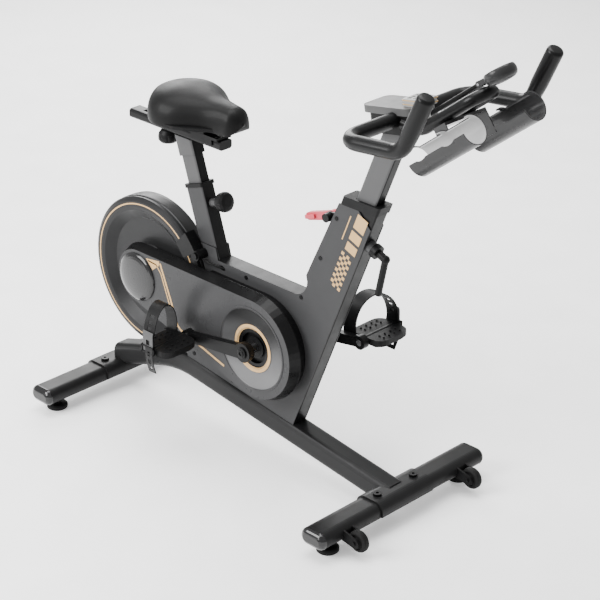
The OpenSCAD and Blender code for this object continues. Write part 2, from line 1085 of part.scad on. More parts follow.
function both_radii(half) = concat([for (i = [len(half) - 1 : -1 : 0]) half[i]], half);

module brake_cable() {
    color(black)
        swept_tube(smooth_path(cable_pts, 3), cable_r);
}

// Straight bores that let the cable through the walls
module cable_room() {
    for (leg = [[[116, 0, 590], [152, 0, 546]], [[90, 0, 425], [50, 0, 391]],
            [[-140, 2, 387], [-190, -27, 397]]]) {
        d = leg[1] - leg[0];
        translate(leg[0])
            rotate([0, acos(d[2] / norm(d)), atan2(d[1], d[0])])
                cylinder(r = 5, h = norm(d));
    }
}

// ---- pedals ----

pedal_w = 92;
pedal_d = 88;

pedal_corner_r = 24;
pedal_top = 8;
lug_w = 34;

// Solid platform with round corners, a tapered underside and lugs for the strap's two legs
module platform() {
    y_mid = -pedal_y0 - pedal_w / 2;
    difference() {
        union() {
            translate([0, y_mid, -3])
                linear_extrude(pedal_top + 3)
                    polygon(round_rect(pedal_d, pedal_w, pedal_corner_r));
            translate([0, y_mid, -8])
                linear_extrude(6)
                    polygon(round_rect(pedal_d - 10, pedal_w - 8, pedal_corner_r - 4));
            translate([0, y_mid, -13])
                linear_extrude(6)
                    polygon(round_rect(pedal_d - 34, pedal_w - 20, 12));
            for (s = [-1, 1])
                translate([strap_x - s * strap_skew - lug_w / 2, y_mid + s * (pedal_w / 2 - 4) - 4, -3])
                    cube([lug_w, 8, 6]);
            rod_y(0, 0, -pedal_y0 - pedal_w, -pedal_y0, 9);
        }
        rod_y(0, 0, -pedal_y0 - pedal_w - 1, -pedal_y0 + 1, pedal_bore_r - 2 + 0.06);
    }
}

module right_pedal() {
    color(black)
        translate(pedal_at(1))
            platform();
}

module left_pedal() {
    color(black)
        translate(pedal_at(-1))
            mirror([0, 1, 0])
                platform();
}

function pedal_at(s) = [crank_x + s * crank_len * cos(crank_dir), 0,
    crank_z + s * crank_len * sin(crank_dir)];

module pedal_spindle() {
    rod_y(0, 0, -pedal_y0 - pedal_w + 6, -crank_y0 - eps, pedal_bore_r - 2);
    rod_y(0, 0, -crank_y0 - crank_t, -crank_y0, pedal_bore_r);
    rod_y(0, 0, -pedal_y0 + 0.4, -crank_y0 - crank_t, 9);
}

module right_pedal_spindle() {
    color(steel)
        translate(pedal_at(1))
            pedal_spindle();
}

module left_pedal_spindle() {
    color(steel)
        translate(pedal_at(-1))
            mirror([0, 1, 0])
                pedal_spindle();
}

strap_w = 34;
strap_t = 2.4;
strap_rise = 86;
// Where the strap's middle crosses the pedal, and how far each leg is ahead or behind
strap_x = -25;
strap_skew = 16;

function strap_arc(out, rise) = concat([[-6, -out], [18, -out]],
    [for (i = [1 : 11]) let (a = i * 15) [18 + (rise - 18) * sin(a), -out * cos(a)]],
    [[18, out], [-6, out]]);

// Points across the band at one station: outer edge pair, then inner edge pair
function strap_ring(o, i) = [for (p = [[o, -1], [o, 1], [i, 1], [i, -1]])
    [strap_x - strap_skew * p[0][1] / (pedal_w / 2) + p[1] * strap_w / 2, p[0][1], p[0][0]]];

// Toe strap: a skewed arch over the platform, with its outer leg further forward
module pedal_strap() {
    outer = strap_arc(pedal_w / 2 + strap_t, strap_rise);
    inner = strap_arc(pedal_w / 2, strap_rise - strap_t);
    n = len(outer);
    translate([0, -pedal_y0 - pedal_w / 2, 0])
        polyhedron(
            [for (i = [0 : n - 1]) each strap_ring(outer[i], inner[i])],
            concat([[0, 1, 2, 3]],
                [for (i = [0 : n - 2]) for (k = [0 : 3])
                    [4 * i + k, 4 * i + 4 + k, 4 * i + 4 + (k + 1) % 4, 4 * i + (k + 1) % 4]],
                [[4 * n - 1, 4 * n - 2, 4 * n - 3, 4 * n - 4]]));
}

module right_pedal_strap() {
    color(grey)
        translate(pedal_at(1))
            pedal_strap();
}

module left_pedal_strap() {
    color(grey)
        translate(pedal_at(-1))
            mirror([0, 1, 0])
                pedal_strap();
}

// ---- seat ----

module seat_pin_hole() {
    seat_pin_line()
        cylinder(r = 6.2, h = 60);
}

post_top = 108;

module seat_post() {
    hole_r = 4;
    color(grey)
        seat_axis()
            difference() {
                translate([0, 0, -160])
                    box_tube(seat_post_d, seat_post_w, 5, 160 + post_top, 2.2);
                for (i = [-4 : 1])
                    translate([0, 0, -28 + 24 * i])
                        rotate([0, 90, 0])
                            cylinder(r = hole_r, h = 60);
            }
}

// Fluted plastic knob standing on its narrow end
module fluted_knob(bore_r, bore_h) {
    difference() {
        rotate_extrude()
            polygon([[0, 0], [11, 0], [15, 3], [20, 10], [21.5, 17], [21, 24], [17, 29], [10, 31], [0, 31]]);
        for (a = [0 : 45 : 315])
            rotate([0, 0, a])
                translate([24, 0, -1])
                    cylinder(r = 4, h = 40);
        translate([0, 0, -1])
            cylinder(r = bore_r, h = bore_h + 1);
    }
}

module seat_pin_knob() {
    color(black)
        seat_pin_line() {
            translate([0, 0, seat_post_d / 2 + 0.4])
                cylinder(r = pin_r, h = 26);
            translate([0, 0, seat_d / 2 + 21])
                fluted_knob(pin_r, 2);
        }
}

slot_x0 = -425;
slot_x1 = -342;
slot_w = 9;

module seat_rail() {
    color(grey) {
        difference() {
            translate([rail_x0, 0, rail_z + rail_h / 2])
                rotate([0, 90, 0])
                    box_tube(rail_h, rail_w, 6, rail_x1 - rail_x0, wall);
            translate([slot_x0, -slot_w / 2, rail_z - 1])
                cube([slot_x1 - slot_x0, slot_w, rail_h + 2]);
        }
        for (x = [rail_x0, rail_x1 - wall])
            translate([x, 0, rail_z + rail_h / 2])
                rotate([0, 90, 0])
                    linear_extrude(wall)
                        polygon(round_rect(rail_h - wall, rail_w - wall, 5));
        difference() {
            seat_axis()
                translate([0, 0, 78])
                    box_tube(seat_post_d + 8, seat_post_w + 7, 6, 50);
            seat_axis()
                translate([0, 0, 70])
                    box_tube(seat_post_d, seat_post_w, 5, post_top - 70);
            translate([rail_x0, -60, rail_z + 1])
                cube([400, 120, 60]);
        }
    }
}

knob_x = -353;
knob_bolt_r = 4;
slide_gap = 0.3;

// Plate and side lips that ride on the rail, the rod clamp and the clamping bolt
module saddle_carriage() {
    z0 = rail_z + rail_h + slide_gap;
    lip_y = rail_w / 2 + slide_gap;
    color(black) {
        translate([-372, -lip_y - 3, z0])
            cube([188, 2 * lip_y + 6, 6]);
        for (y = [-lip_y - 3, lip_y])
            translate([-262, y, z0 - 12])
                cube([62, 3, 13]);
        translate([saddle_x - 24, -20, z0 + 5])
            cube([48, 40, 9]);
        difference() {
            translate([saddle_x - 20, -36, z0 + 13.5])
                cube([40, 72, pan_z - 0.2 - z0 - 13.5]);
            saddle_rods();
        }
        translate([knob_x, 0, rail_z - 22])
            cylinder(r = knob_bolt_r, h = z0 - rail_z + 23);
    }
}

saddle_rod_z = 695.5;
pan_z = 698.5;

module saddle_rods() {
    for (s = [-1, 1])
        translate([saddle_x - 85, s * 27, saddle_rod_z])
            rotate([0, 90, 0])
                cylinder(r = 3.5, h = 170);
}

// Steel rods under a thin pan that the pad sits on
module saddle_frame() {
    color(steel) {
        saddle_rods();
        translate([saddle_x, 0, pan_z])
            linear_extrude(6.5)
                polygon(pan_outline());
    }
}

function pan_outline() =
    let (half = [for (i = [1 : 11]) let (t = i / 12)
        [saddle_len * (t - 0.5), saddle_half(t) - 10]])
    concat(half, [for (i = [10 : -1 : 0]) [half[i][0], -half[i][1]]]);

function saddle_half(t) =
    t < 0.42 ? saddle_w / 2 * sqrt(1 - pow((0.42 - t) / 0.42, 2.2)) * 0.999 + 1
    : 19 + (saddle_w / 2 - 19) * pow(max(cos(90 * (t - 0.42) / 0.58), 0), 1.7);

module saddle_pad() {
    x0 = saddle_x - saddle_len / 2;
    color(black)
        for (i = [0 : 5]) {
            t0 = i / 6;
            t1 = (i + 1) / 6;
            hull() {
                saddle_slice(x0, t0);
                saddle_slice(x0, t1);
            }
        }
}

module saddle_slice(x0, t) {
    w = max(saddle_half(t), 20);
    z = pan_z + 6.7 + max(4 - 10 * t, 0);
    h = 61 - 31 * pow(t, 1.6);
    translate([x0 + saddle_len * t, 0, z])
        rotate([90, 0, 90])
            linear_extrude(0.1)
                polygon(concat([[w - 4, 0], [-w + 4, 0]],
                    [for (k = [0 : 10]) let (a = 180 - 18 * k) [w * cos(a), 10 + (h - 10) * sin(a)]]));
}

module saddle_knob() {
    color(black)
        translate([knob_x, 0, rail_z - 0.4])
            mirror([0, 0, 1])
                fluted_knob(knob_bolt_r + 0.05, 23);
}

// ---- handlebar ----

post_d = 48;
post_w = 26;
post_rise = 205;

module lock_hole() {
    bar_lock_line()
        cylinder(r = lock_r + 1.2, h = 80);
}

module bar_post() {
    color(grey)
        head_axis()
            difference() {
                translate([head_off, 0, -300])
                    box_tube(post_d, post_w, 5, 300 + post_rise, 2.5);
                for (i = [-8 : 1])
                    translate([0, 0, -72 + 24 * i])
                        rotate([0, 90, 0])
                            cylinder(r = 4, h = 60);
            }
}

// L-shaped handle on the front of the head
module bar_lock_handle() {
    reach = down_d / 2 + 44;
    color(black)
        bar_lock_line() {
            translate([0, 0, head_off + post_d / 2 + 0.4])
                cylinder(r = pin_r, h = 20);
            translate([0, 0, down_d / 2 - 2])
                cylinder(r = lock_r, h = 46);
            translate([0, 0, down_d / 2 + 12])
                cylinder(r = 15, h = 12);
            translate([0, 0, reach])
                sphere(r = 9);
            translate([0, 0, reach])
                rotate([0, 80, 0])
                    cylinder(r = 7, h = 82);
        }
}

module housing_frame() {
    translate([290, 0, 858])
        rotate([0, -10, 0])
            children();
}

// Top plate over a dark clamp block, with the post, the bar and the loop let in
module bar_housing() {
    color(grey)
        difference() {
            union() {
                housing_frame() {
                    translate([0, 0, 4])
                        box_tube(124, 76, 16, 14);
                    translate([3, 0, -34])
                        box_tube(104, 70, 12, 39);
                }
            }
            rod_y(bar_x, bar_z, -60, 60, grip_r);
            for (y = [-loop_y, loop_y])
                translate([loop_x - loop_stub, y, loop_z])
                    rotate([0, 90, 0])
                        cylinder(r = loop_r, h = loop_stub);
            head_axis()
                translate([head_off, 0, 100])
                    box_tube(post_d, post_w, 5, post_rise - 100);
        }
}

grip_cap_n = 5;

// Centre line of the bar's left half: across, round the corner, forward and up the horn
function grip_half() =
    let (lat = grip_y - bend_r, up = horn_lean - bar_tilt, straight = horn_len - 45,
        knee = [run_len + bend_r * sin(up), grip_y, bend_r * (1 - cos(up))],
        dir = [cos(up), 0, sin(up)])
    concat(
        [[0, lat / 2, 0]],
        [for (i = [0 : 8]) let (a = 90 * i / 8)
            [bend_r * (1 - cos(a)), lat + bend_r * sin(a), 0]],
        [for (i = [0 : 7]) let (a = up * i / 7)
            [run_len + bend_r * sin(a), grip_y, bend_r * (1 - cos(a))]],
        [for (i = [0 : grip_cap_n]) let (a = 84 * i / grip_cap_n)
            knee + dir * (straight + grip_r * sin(a))]);

grip_radii = concat([for (i = [0 : 17]) grip_r],
    [for (i = [0 : grip_cap_n]) grip_r * cos(84 * i / grip_cap_n)]);

module grip_bar() {
    color(black)
        translate([bar_x, 0, bar_z])
            rotate([0, -bar_tilt, 0])
                swept_tube(both_halves(grip_half()), both_radii(grip_radii), 20, [-0.9, 0, 0.42]);
}

module loop_axis() {
    translate([loop_x, 0, loop_z])
        rotate([0, -loop_lean, 0])
            children();
}

loop_stub = 45;
loop_elbow_r = 40;

// Left half of the loop's centre line: a level stub, a bend, a leg and a quarter of the end
function loop_half() =
    let (cut = loop_elbow_r * tan(loop_lean / 2), dir = [cos(loop_lean), 0, sin(loop_lean)])
    concat(
        [[-loop_stub, loop_y, 0]],
        [for (i = [0 : 5]) let (a = loop_lean * i / 5)
            [-cut + loop_elbow_r * sin(a), loop_y, loop_elbow_r * (1 - cos(a))]],
        [for (i = [0 : 7]) let (a = 90 * (i + 0.02) / 7.5)
            dir * (loop_leg + loop_y * sin(a)) + [0, loop_y * cos(a), 0]]);

// U-shaped tube: level stubs that bend up and meet in a round end
module extension_loop() {
    half = loop_half();
    color(black)
        translate([loop_x, 0, loop_z])
            swept_tube(concat(half, [for (i = [len(half) - 1 : -1 : 0])
                [half[i][0], -half[i][1], half[i][2]]]), loop_r, 18,
                [-sin(loop_lean), 0, cos(loop_lean)]);
}

// Small console on the housing's front, and the monitor's stalk
module console() {
    color(grey) {
        housing_frame()
            translate([54, 0, 18])
                box_tube(50, 42, 5, 14);
        stalk();
    }
}

stalk_z = 21;
eye_x = 152;
eye_r = 6;
eye_pin_r = 2.4;

// Thin stalk on a block, with an eye at its end for the monitor's pin
module stalk() {
    translate([353, -7, 862])
        cube([12, 14, 28]);
    loop_axis()
        difference() {
            union() {
                translate([-6, 0, stalk_z])
                    rotate([0, 90, 0])
                        cylinder(r = 4.5, h = eye_x + 3);
                rod_y(eye_x, stalk_z, -4, 4, eye_r);
            }
            rod_y(eye_x, stalk_z, -5, 5, eye_pin_r + 0.06);
        }
}

// Round display with two ears and the pin it tilts on
module monitor() {
    color(black)
        loop_axis() {
            translate([204, 0, 3])
                rotate_extrude()
                    polygon([[0, 0], [24, 0], [30, 6], [31, 13], [30, 21], [28, 24], [26, 24], [25, 23],
                        [0, 23]]);
            for (y = [-8.5, 4.9])
                slab_y(y, y + 3.6)
                    union() {
                        translate([eye_x, stalk_z])
                            circle(r = eye_r);
                        translate([eye_x, stalk_z - 4])
                            square([26, 8]);
                    }
            rod_y(eye_x, stalk_z, -8.5, 8.5, eye_pin_r);
        }
}

// Half-open pipe with a wavy near edge
module cradle() {
    t = 3;
    r = cradle_r;
    difference() {
        rotate([0, 90, 0])
            cylinder(r = r, h = cradle_len);
        translate([-1, 0, 0])
            rotate([0, 90, 0])
                cylinder(r = r - t, h = cradle_len + 2);
        translate([-1, -2 * r, 0])
            cube([cradle_len + 2, 2 * r, 2 * r]);
        for (dip = [[0.22, 30, 33], [0.72, 30, 34.5]])
            translate([dip[0] * cradle_len, -r, dip[1]])
                rotate([90, 0, 0])
                    cylinder(r = dip[2], h = 3 * r, center = true);
    }
}

cradle_y = 82;

// Two cradles hung from a cross plate under the loop
module cradles() {
    bar_z0 = -loop_r - 6;
    edge_y = cradle_y - cradle_r;
    hang_x = 52;
    hang_d = 32;
    color(grey)
        loop_axis() {
            for (y = [-cradle_y, cradle_y])
                translate([12, y, -52])
                    cradle();
            translate([hang_x, -edge_y - 3, bar_z0])
                cube([hang_d, 2 * edge_y + 6, 6]);
            for (y = [-edge_y - 3, edge_y])
                translate([hang_x, y, -62])
                    cube([hang_d, 3, bar_z0 + 65]);
        }
}

spine();
front_stabilizer();
rear_stabilizer();
stabilizer_caps();
stabilizer_brackets();
frame_fasteners();
down_tube();
top_beam();
seat_tube();
right_side_panel();
left_side_panel();
head_collar();
seat_collar();
crank_shell();
crank_bearings();
flywheel_stays();
flywheel_axle();
drive_cover();
drive_tray();
hub_cap();
crank_dish();
drive_belt();
wheel_forks();
brake_bracket();
brake_cable();
brake_lever();
magnet_arm();
flywheel();
flywheel_bearings();
crankset_pulley();
crank_axle();
right_crank();
left_crank();
right_pedal();
right_pedal_spindle();
right_pedal_strap();
left_pedal();
left_pedal_spindle();
left_pedal_strap();
transport_wheel_right();
transport_wheel_left();
seat_post();
seat_rail();
seat_pin_knob();
saddle_carriage();
saddle_frame();
saddle_pad();
saddle_knob();
bar_post();
bar_housing();
grip_bar();
extension_loop();
console();
monitor();
cradles();
bar_lock_handle();
foot_front_right();
foot_front_left();
foot_rear_right();
foot_rear_left();
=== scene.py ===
import json
import math
import bmesh
import bpy
from mathutils import Matrix, Vector


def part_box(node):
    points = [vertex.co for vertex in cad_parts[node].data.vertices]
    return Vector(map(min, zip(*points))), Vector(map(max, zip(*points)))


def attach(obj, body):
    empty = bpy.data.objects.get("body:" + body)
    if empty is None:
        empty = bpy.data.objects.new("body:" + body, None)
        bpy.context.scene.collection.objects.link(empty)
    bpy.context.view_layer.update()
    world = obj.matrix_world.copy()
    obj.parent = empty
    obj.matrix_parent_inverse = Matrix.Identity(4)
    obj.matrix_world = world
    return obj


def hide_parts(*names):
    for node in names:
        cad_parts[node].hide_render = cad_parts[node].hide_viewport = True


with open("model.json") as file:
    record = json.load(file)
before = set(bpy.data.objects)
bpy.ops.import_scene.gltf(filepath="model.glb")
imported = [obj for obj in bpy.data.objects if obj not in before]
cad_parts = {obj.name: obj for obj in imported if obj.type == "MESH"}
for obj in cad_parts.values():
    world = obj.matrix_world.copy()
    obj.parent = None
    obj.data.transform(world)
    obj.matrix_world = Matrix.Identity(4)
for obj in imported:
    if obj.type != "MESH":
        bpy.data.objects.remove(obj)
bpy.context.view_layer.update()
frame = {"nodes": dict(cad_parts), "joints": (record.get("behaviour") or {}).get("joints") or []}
nodes = frame["nodes"]
joints = {j["name"]: j for j in frame["joints"]}
MM = 0.001


# ---- places, worked out from the frame ----

def joint_pos(name):
    return Vector(joints[name]["pos_m"])


def lean_of(name):
    """Angle from upright of a post's sliding axis, in the side view."""
    axis = joints[name]["axis"]
    return math.atan2(axis[0], axis[2])


def leaning_frame(origin, lean):
    """Local axes at a point: Z along a post that leans in the side view, Y across the bike."""
    return Matrix.Translation(origin) @ Matrix.Rotation(lean, 4, "Y")


hub = joint_pos("flywheel_spin")
crank = joint_pos("crank_spin")
head_lean = lean_of("bar_post_height")
LOCK_TO_TOP = 72
HEAD = leaning_frame(joint_pos("bar_lock_turn"), head_lean) @ Matrix.Translation((0, 0, LOCK_TO_TOP * MM))

# The forward loop rises at this angle, and the cradles hang below it
LOOP_RISE = 37.5
LOOP = leaning_frame(joint_pos("monitor_tilt"), math.radians(-LOOP_RISE))
CRADLE_Y, CRADLE_DROP, CRADLE_INNER = 82, 73, 27.2

# Centre of the handlebar housing, whose top plate slopes
HOUSING_SLOPE = 10
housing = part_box("bar_housing")
HOUSING = Vector((housing[0].x + 64.2 * MM, 0, housing[1].z - 28.5 * MM))

# Each pedal's middle, out from the middle of the bike
PEDAL_OUT = 0.140


# ---- colours ----

# Grey for faces that look left or right: painted light on the one graphite finish, also used on the cover
# and the dish.
SIDE_LIT_GREY = (0.034, 0.034, 0.035)
# Grey for the post's faces that look left or right: painted light on its black finish.
POST_SIDE_LIT_GREY = (0.066, 0.066, 0.067)
BLACK = (0.004, 0.004, 0.0042)
DARK = (0.007, 0.007, 0.0072)
GOLD = (0.52, 0.33, 0.15)
STEEL = (0.3, 0.3, 0.305)
PALE = (0.3, 0.3, 0.295)


# ---- materials ----

class Paint:
    """One procedural material. Each method adds nodes and gives back an output socket."""

    def __init__(self, name, colour, rough, metal=0.0, coat=0.0):
        self.mat = bpy.data.materials.new(name)
        self.mat.use_nodes = True
        self.tree = self.mat.node_tree
        self.shader = self.tree.nodes["Principled BSDF"]
        self.shader.inputs["Metallic"].default_value = metal
        self.shader.inputs["Specular IOR Level"].default_value = 0.12
        self.shader.inputs["Coat Weight"].default_value = coat
        self.shader.inputs["Coat Roughness"].default_value = 0.12
        self.coords = self.tree.nodes.new("ShaderNodeTexCoord")
        self.colour = self.tint(colour, 0.07)
        self.rough = rough

    def add(self, kind, **values):
        made = self.tree.nodes.new(kind)
        for key, value in values.items():
            setattr(made, key, value)
        return made

    def join(self, out, into):
        self.tree.links.new(out, into)

    def math(self, operation, a, b=0.0):
        made = self.add("ShaderNodeMath", operation=operation)
        for socket, value in zip(made.inputs, (a, b)):
            if isinstance(value, (int, float)):
                socket.default_value = value
            else:
                self.join(value, socket)
        return made.outputs[0]

    def noise(self, scale, detail=4.0):
        made = self.add("ShaderNodeTexNoise")
        made.inputs["Scale"].default_value = scale
        made.inputs["Detail"].default_value = detail
        self.join(self.coords.outputs["Object"], made.inputs["Vector"])
        return made.outputs["Fac"]

    def between(self, fac, low, high):
        made = self.add("ShaderNodeMapRange")
        made.inputs["From Min"].default_value = 0.3
        made.inputs["From Max"].default_value = 0.7
        made.inputs["To Min"].default_value = low
        made.inputs["To Max"].default_value = high
        self.join(fac, made.inputs["Value"])
        return made.outputs["Result"]

    def mix(self, fac, a, b):
        made = self.add("ShaderNodeMix", data_type="RGBA")
        self.join(fac, made.inputs["Factor"])
        for socket, value in ((made.inputs[6], a), (made.inputs[7], b)):
            if isinstance(value, tuple):
                socket.default_value = (*value, 1.0)
            else:
                self.join(value, socket)
        return made.outputs[2]

    def tint(self, colour, amount):
        """The colour with soft clouds a little darker and lighter."""
        dark = tuple(c * (1 - amount) for c in colour)
        light = tuple(min(c * (1 + amount), 1.0) for c in colour)
        return self.mix(self.noise(9.0, 3.0), dark, light)

    def position(self):
        made = self.add("ShaderNodeSeparateXYZ")
        self.join(self.coords.outputs["Object"], made.inputs[0])
        return made.outputs

    def faces_side(self, above=0.7):
        """1 on faces that look left or right."""
        made = self.add("ShaderNodeSeparateXYZ")
        self.join(self.coords.outputs["Normal"], made.inputs[0])
        return self.math("GREATER_THAN", self.math("ABSOLUTE", made.outputs[1]), above)

    def radius(self, centre):
        """Distance in the side view from a centre, in metres."""
        x, _, z = self.position()
        dx = self.math("SUBTRACT", x, centre.x)
        dz = self.math("SUBTRACT", z, centre.z)
        squares = self.math("ADD", self.math("MULTIPLY", dx, dx), self.math("MULTIPLY", dz, dz))
        return self.math("SQRT", squares)

    def band(self, value, low, high):
        """1 where a value lies between two limits."""
        above = self.math("GREATER_THAN", value, low)
        return self.math("MULTIPLY", above, self.math("LESS_THAN", value, high))

    def zone(self, mask, colour):
        """Lays a colour over what is there, where the mask is 1."""
        self.colour = self.mix(mask, self.colour, self.tint(colour, 0.07))

    def done(self, grain=900.0, bump=0.08, rough_spread=0.05):
        """Joins everything up: colour, uneven roughness and a fine-grained surface."""
        self.join(self.colour, self.shader.inputs["Base Color"])
        low, high = max(self.rough - rough_spread, 0.02), self.rough + rough_spread
        self.join(self.between(self.noise(38.0), low, high), self.shader.inputs["Roughness"])
        made = self.add("ShaderNodeBump")
        made.inputs["Strength"].default_value = bump
        made.inputs["Distance"].default_value = 0.0004
        self.join(self.noise(grain, 6.0), made.inputs["Height"])
        self.join(made.outputs["Normal"], self.shader.inputs["Normal"])
        return self.mat


def frame_paint():
    """Tubes of one graphite finish, painted black as painted shade, with their left and right faces
    painted graphite grey as painted light.
    """
    paint = Paint("graphite_paint", BLACK, 0.42)
    # Painted light: faces that look left or right turn grey, and the rest stay black as painted shade.
    paint.zone(paint.faces_side(), SIDE_LIT_GREY)
    return paint.done()


def spine_paint():
    paint = Paint("spine_paint", DARK, 0.36)
    # Painted light: faces that look left or right a little lighter than the dark top and front.
    paint.zone(paint.faces_side(0.8), (0.014, 0.014, 0.0143))
    return paint.done()


def post_paint():
    paint = Paint("post_paint", BLACK, 0.4)
    # Painted light: faces that look left or right turn grey, and the rest stay black as painted shade.
    paint.zone(paint.faces_side(), POST_SIDE_LIT_GREY)
    return paint.done()


def rail_paint():
    """Black rail over the socket that holds the post, whose faces that look left or right are painted
    grey as painted light.
    """
    paint = Paint("rail_paint", BLACK, 0.34)
    z = paint.position()[2]
    rail_height = 0.0205
    below = paint.math("LESS_THAN", z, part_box("seat_rail")[1].z - rail_height)
    paint.zone(paint.math("MULTIPLY", below, paint.faces_side()), POST_SIDE_LIT_GREY)
    return paint.done()


def plain(name, colour, rough, metal=0.0, coat=0.0, grain=900.0, bump=0.08):
    return Paint(name, colour, rough, metal, coat).done(grain, bump)


def cover_paint():
    paint = Paint("cover_paint", BLACK, 0.3)
    # Painted light: faces that look left or right turn grey, and the bevelled band round them stays black
    # as painted shade.
    paint.zone(paint.faces_side(0.98), SIDE_LIT_GREY)
    return paint.done()


def dish_paint():
    """Grey dish, its bowl painted lighter as painted light and darker towards its top as painted shade,
    with a gold ring round the black middle.
    """
    paint = Paint("dish_paint", SIDE_LIT_GREY, 0.33)
    z = paint.position()[2]
    bowl, ring_in, ring_out = 0.088, 0.0425, 0.0525
    # Painted shade over the bowl, growing upwards from 5 cm below the crank.
    top_shade = paint.math("MULTIPLY", paint.math("SUBTRACT", z, crank.z - 0.05), 9.0)
    made = paint.add("ShaderNodeClamp")
    paint.join(top_shade, made.inputs[0])
    inside = paint.band(paint.radius(crank), 0.0, bowl)
    # Painted light: the bowl lighter grey than the dish round it.
    paint.zone(inside, (0.12, 0.12, 0.122))
    paint.colour = paint.mix(paint.math("MULTIPLY", inside, made.outputs[0]), paint.colour, DARK)
    paint.zone(paint.band(paint.radius(crank), 0.0, ring_in), BLACK)
    paint.zone(paint.band(paint.radius(crank), ring_in, ring_out), GOLD)
    return paint.done()


def flywheel_paint():
    """Dark painted wheel with a thin gold line near its rim."""
    paint = Paint("flywheel_paint", (0.017, 0.017, 0.0175), 0.34, 0.2)
    r = paint.radius(hub)
    paint.zone(paint.band(r, 0.1685, 0.18), (0.02, 0.02, 0.0204))
    side = paint.faces_side(0.6)
    ring = paint.math("MULTIPLY", paint.band(r, 0.1525, 0.1555), side)
    paint.zone(ring, GOLD)
    return paint.done(grain=1400.0, bump=0.05)


def housing_paint():
    """Light top plate over a dark clamp block, split along the plate's underside."""
    paint = Paint("housing_paint", BLACK, 0.4)
    low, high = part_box("bar_housing")
    x, _, z = paint.position()
    rise = math.tan(math.radians(HOUSING_SLOPE))
    plate = paint.math("SUBTRACT", z, paint.math("MULTIPLY", paint.math("SUBTRACT", x, low.x), rise))
    plate_thick, plate_long = 0.0148, 0.124
    underside = high.z - plate_thick - plate_long * rise
    paint.zone(paint.math("GREATER_THAN", plate, underside), (0.07, 0.07, 0.07))
    return paint.done()


def fastener_paint():
    """Black screws, with bare metal on the two turned bosses."""
    paint = Paint("fastener_paint", BLACK, 0.35, 0.4)
    x, y, z = paint.position()
    near_middle = paint.band(y, -0.016, 0.016)
    high_up = paint.math("GREATER_THAN", z, 0.46)
    paint.zone(paint.math("MULTIPLY", near_middle, high_up), (0.06, 0.06, 0.061))
    return paint.done()


black_moulding = plain("black_moulding", BLACK, 0.46, bump=0.16)
black_paint = plain("black_paint", BLACK, 0.34)
gloss_black = plain("gloss_black", (0.008, 0.008, 0.0084), 0.17, coat=0.6, bump=0.02)
bare_steel = plain("bare_steel", STEEL, 0.28, 1.0, grain=2200.0, bump=0.05)
rubber = plain("rubber", (0.007, 0.007, 0.007), 0.62, grain=1500.0, bump=0.2)
grip_foam = plain("grip_foam", (0.0035, 0.0035, 0.0037), 0.36, coat=0.08, grain=1700.0, bump=0.14)
red_plastic = plain("red_plastic", (0.5, 0.06, 0.085), 0.34, coat=0.2)
strap_grey = plain("strap_webbing", (0.075, 0.075, 0.076), 0.5, grain=1300.0, bump=0.2)
strap_black = plain("strap_black", DARK, 0.42, grain=1300.0, bump=0.16)


def cradle_paint():
    """Smoked plastic, with the inside of the two half pipes painted lighter as painted light, and the
    near pipe's inside painted pale as a painted reflection.
    """
    paint = Paint("cradle_plastic", (0.022, 0.022, 0.0225), 0.3, coat=0.3)
    to_loop = LOOP.inverted()
    x, y, z = paint.position()
    up = paint.math("ADD", paint.math("MULTIPLY", x, to_loop[2][0]),
                    paint.math("MULTIPLY", z, to_loop[2][2]))
    height = paint.math("ADD", up, to_loop[2][3] + CRADLE_DROP * MM)
    across = paint.math("SUBTRACT", paint.math("ABSOLUTE", y), CRADLE_Y * MM)
    squares = paint.math("ADD", paint.math("MULTIPLY", height, height),
                         paint.math("MULTIPLY", across, across))
    inside = paint.band(paint.math("SQRT", squares), 0.0, CRADLE_INNER * MM)
    near = paint.math("MULTIPLY", inside, paint.math("LESS_THAN", y, 0.0))
    # Painted light: the inside of both half pipes a little lighter than the outside.
    paint.zone(inside, (0.05, 0.05, 0.051))
    # Painted reflection: the near half pipe's inside pale grey.
    paint.zone(near, (0.42, 0.42, 0.42))
    return paint.done()


saddle_skin = plain("saddle_skin", (0.003, 0.003, 0.0031), 0.5, coat=0.02, grain=620.0, bump=0.3)
gold_trim = plain("gold_print", GOLD, 0.42, 0.35)


def console_paint():
    """Pale box at the back, black stalk in front of it."""
    paint = Paint("console_paint", PALE, 0.38)
    x = paint.position()[0]
    paint.zone(paint.math("GREATER_THAN", x, HOUSING.x + 0.0785), BLACK)
    return paint.done()


screen_glass = plain("screen_glass", (0.006, 0.007, 0.008), 0.08, coat=0.9, bump=0.0)
puck_black = plain("puck_black", (0.02, 0.02, 0.0205), 0.36, coat=0.15)

